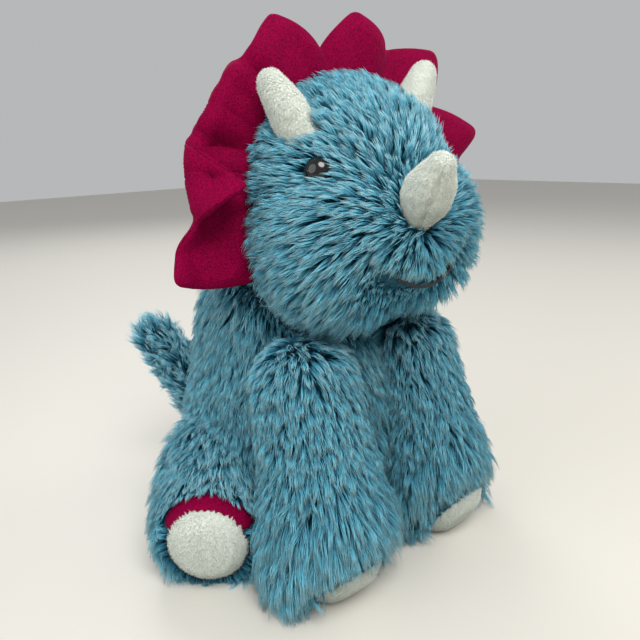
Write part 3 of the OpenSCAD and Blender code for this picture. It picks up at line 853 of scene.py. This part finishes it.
def make_frill():
    angles = np.linspace(-36, 216, 421)
    shares = np.linspace(0, 1, 41)
    a, s = np.meshgrid(angles, shares, indexing="ij")
    edge = frill_edge(a)
    inner = 40.0
    r = inner + (edge - inner) * s
    rng = np.random.default_rng(7)
    knots = np.linspace(-36, 216, 22)
    wave = np.interp(a, knots, rng.normal(0, 1, len(knots)))
    pucker = np.sin(np.radians(a) * 22 + 1.5 * wave) * smooth_step(-r, -82, -50)
    notch_lines = np.cos(np.radians(a) * 12.0 + 2.0)
    bow = 2.2 * wave * s + 0.7 * pucker + 1.6 * notch_lines * smooth_step(s, 0.2, 0.9)
    for at, width, depth in ((125, 5, 5), (157, 6, 9), (190, 7, 6), (90, 5, 3.5), (55, 6, 3), (23.5, 6, 3)):
        bow = bow + depth * np.exp(-(((a - at) / width) ** 2)) * smooth_step(s, 0.15, 0.75)
    hollow = np.exp(-(((a - 165) / 26) ** 2)) * np.sin(math.pi * np.clip(s * 1.1, 0, 1))
    y = FRILL_Y + bow + 4.0 * s**2 + 6.0 * hollow

    def fold(at, width, start, bend):
        """Turns the edge back past a distance from the middle, in a window of directions."""
        nonlocal r, y
        window = np.exp(-(((a - at) / width) ** 2))
        past = np.maximum(r - start, 0)
        turn = np.radians(bend) * window * smooth_step(past, 0, 10)
        r = r - past + past * np.cos(turn)
        y = y + past * np.sin(turn)

    fold(142, 14, 74, 120)
    fold(171, 13, 80, -125)
    fold(198, 10, 92, -22)
    fold(106, 8, 76, 14)
    fold(74, 8, 76, 10)
    x, z = r * np.cos(np.radians(a)), r * np.sin(np.radians(a))
    middle_sheet = np.stack([x, y, z], -1)
    du, dv = np.gradient(middle_sheet, axis=0), np.gradient(middle_sheet, axis=1)
    normal = unit(np.cross(dv, du))
    to_edge = np.minimum((1 - s) * (edge - inner), (a + 36) * 1.2)
    to_edge = np.minimum(to_edge, (216 - a) * 1.2)
    lumps = 0.92 + 0.08 * np.sin(np.radians(a) * 23 + 4 * wave)
    puff = 3.4 * np.sqrt(np.clip(to_edge / 9, 0, 1)) * lumps + 0.45
    m, n = a.shape

    def layer(name, sign, nodes):
        """One padded layer of velvet, on one side of the middle sheet."""
        outer = middle_sheet + sign * normal * puff[..., None]
        inside = middle_sheet + sign * normal * np.maximum(puff - 0.9, 0.06)[..., None]
        points = np.concatenate([outer.reshape(-1, 3), inside.reshape(-1, 3)])
        half = m * n
        i, k = np.meshgrid(np.arange(m - 1), np.arange(n - 1), indexing="ij")
        p = (i * n + k).ravel()
        quads = np.stack([p, p + 1, p + n + 1, p + n], 1)
        if sign > 0:
            quads = quads[:, ::-1]
        back = quads[:, ::-1] + half
        rim = np.concatenate(
            [
                np.arange(n),
                np.arange(1, m) * n + n - 1,
                (m - 1) * n + np.arange(n - 2, -1, -1),
                np.arange(m - 2, 0, -1) * n,
            ]
        )
        nxt = np.roll(rim, -1)
        sides = np.stack([rim, nxt, nxt + half, rim + half], 1)
        if sign < 0:
            sides = sides[:, ::-1]
        made = new_object(name, from_head(points), quads.tolist() + back.tolist() + sides.tolist(), VELVET)
        body_piece(made, "head", "velvet_magenta", *nodes, fill=0.25)

    layer("frill_front_velvet", -1, ("frill_front", "frill_padding"))
    layer("frill_rear_velvet", 1, ("frill_rear",))


# ---------- legs ----------

SOLE_DEG = {"front_left": 54, "front_right": 42}  # how far a front sole faces forwards
LEG_BODIES = {
    "front_left": "front_leg_left",
    "front_right": "front_leg_right",
    "hind_left": "hind_leg_left",
    "hind_right": "hind_leg_right",
}


def sole_direction(name, reach):
    """The way that a sole faces."""
    if name.startswith("front"):
        tilt = math.radians(SOLE_DEG[name])
        return vec(0, -math.sin(tilt), -math.cos(tilt))
    out = unit(vec(reach[0], reach[1], 0))
    return unit(out - vec(0, 0, math.sin(math.radians(3))))


def make_leg(name, seed):
    """A leg with its two panels, its sole and the strip over its toes."""
    top, reach, r_top, r_foot = LEGS[name]
    foot = top + reach
    front = name.startswith("front")
    facing = sole_direction(name, reach)
    points, faces = blob(limb(top, r_top, foot, r_foot), rounds=6)
    plane = 19.8 if front else 19.1  # the sole's distance from the foot's middle
    past = (points - foot) @ facing - plane
    over = past > 0
    flat_r = np.linalg.norm((points - foot) - ((points - foot) @ facing)[:, None] * facing, axis=1)
    puffed = 6.0 * np.sqrt(np.clip(1 - (flat_r / 23) ** 2, 0, 1))
    points[over] += ((np.minimum(past, puffed) - past)[:, None] * facing)[over]
    points[:, 2] = np.maximum(points[:, 2], 1.2)
    form = Form(points, faces)
    c = form.centres
    height = (c - foot) @ facing
    sole = height > plane - 1.5
    upper_way = vec(0, 0, 1)
    if front:
        tilt = math.radians(SOLE_DEG[name])
        upper_way = vec(0, -math.cos(tilt), math.sin(tilt))
    across = (c - foot) @ upper_way
    band = ~sole & (height > plane - (9 if front else 10)) & (across > 8)
    body = LEG_BODIES[name]
    outward = 1 if name.endswith("left") else -1
    wall = np.cross(unit(reach), vec(0, 0, 1))
    wall = wall * np.sign(wall[0] * outward)
    outer = (c - top) @ wall > 0
    rest = ~sole & ~band
    along = unit(reach)

    def flow(p, n):
        t = smooth_step((p - top) @ along, 0, np.linalg.norm(reach))[:, None]
        level = ((p - foot) @ facing)[:, None]
        radial = unit(p - foot - level * facing)
        rim = smooth_step(level, plane - 16, plane - 2)
        if front:
            flare = unit((p - foot) * vec(1, 1, 0.2))
            return along + 0.3 * n + 0.85 * t * flare + 0.9 * rim * (radial - 0.3 * facing)
        return 0.8 * along + 0.3 * n + vec(0, 0, -0.35) + 1.2 * rim * (radial - 0.8 * facing)

    def near_band(p):
        level = (p - foot) @ facing
        return smooth_step((p - foot) @ upper_way, 0, 10) * smooth_step(level, plane - 26, plane - 11)

    def length(p):
        near_sole = smooth_step(plane - (p - foot) @ facing, 0, 16)
        leg_len = np.linalg.norm(reach)
        reached = smooth_step((p - top) @ along, 0.3 * leg_len, leg_len)
        return ((14 + 13 * reached) if front else 18) * (0.55 + 0.45 * near_sole) * (1 - 0.45 * near_band(p))

    def trim(p):
        return (p[:, 2] > 2.0) & ((p - foot) @ facing < plane - 1.0)

    panels = (("_outer_panel", rest & outer), ("_inner_panel", rest & ~outer))
    for i, (part, keep) in enumerate(panels):
        inner = (name + "_stuffing",) if i == 0 else ()
        cloth = form.cloth(name + part + "_cloth", keep, BLUE_CLOTH)
        body_piece(cloth, body, "long_pile_blue", name + part, *inner, fill=0.8)
        fur = long_fur(name + part + "_fur", seed + i, form, keep, flow, length, trim)
        body_piece(fur, body, "long_pile_blue")
    pad = form.cloth(name + "_sole_cloth", sole, CREAM_CLOTH, thickness=1.2)
    body_piece(pad, body, "glitter_cream", name + "_sole", fill=0.6)
    comb = upper_way[None]
    pile = short_fur(name + "_sole_pile", seed + 2, form, sole, comb, 1.3, 5.0, CREAM_FUR, radius=0.14)
    body_piece(pile, body, "glitter_cream")
    strip = form.cloth(name + "_toe_band_cloth", band, BLUE_CLOTH if front else VELVET, thickness=1.2)
    strip_slot = "short_pile_blue" if front else "velvet_magenta"
    body_piece(strip, body, strip_slot, name + "_toe_band", fill=0.5)
    if front:
        pile = short_fur(
            name + "_toe_band_pile", seed + 3, form, band, comb, 3.0, 4.0, SHORT_BLUE_FUR, radius=0.2
        )
        body_piece(pile, body, strip_slot)


# ---------- tail ----------


def make_tail():
    root = vec(-22.1, 68.1, 56)
    to = vec(-22.7, 27.0, 48.5)
    points, faces = blob(limb(root, 12.5, root + to, 7.0), voxel=1.8, rounds=5)
    form = Form(points, faces)
    wall = unit(np.cross(vec(0, 0, 1), to))
    left = (form.centres - root) @ wall < 0
    along = unit(to)

    def flow(p, n):
        return along + 0.5 * n

    def length(p):
        return 15 + 2 * smooth_step((p - root) @ along, 20, 60)

    for i, (node, keep) in enumerate((("tail_left_panel", left), ("tail_right_panel", ~left))):
        inner = ("tail_stuffing",) if i == 0 else ()
        cloth = form.cloth(node + "_cloth", keep, BLUE_CLOTH)
        body_piece(cloth, "tail", "long_pile_blue", node, *inner, fill=0.8)
        fur = long_fur(node + "_fur", 90 + i, form, keep, flow, length, spread=0.4)
        body_piece(fur, "tail", "long_pile_blue")


make_torso()
make_neck()
make_head()
make_horns()
make_eyes_and_mouth()
make_frill()
for number, leg_name in enumerate(LEGS):
    make_leg(leg_name, 50 + 10 * number)
make_tail()

bpy.context.view_layer.update()
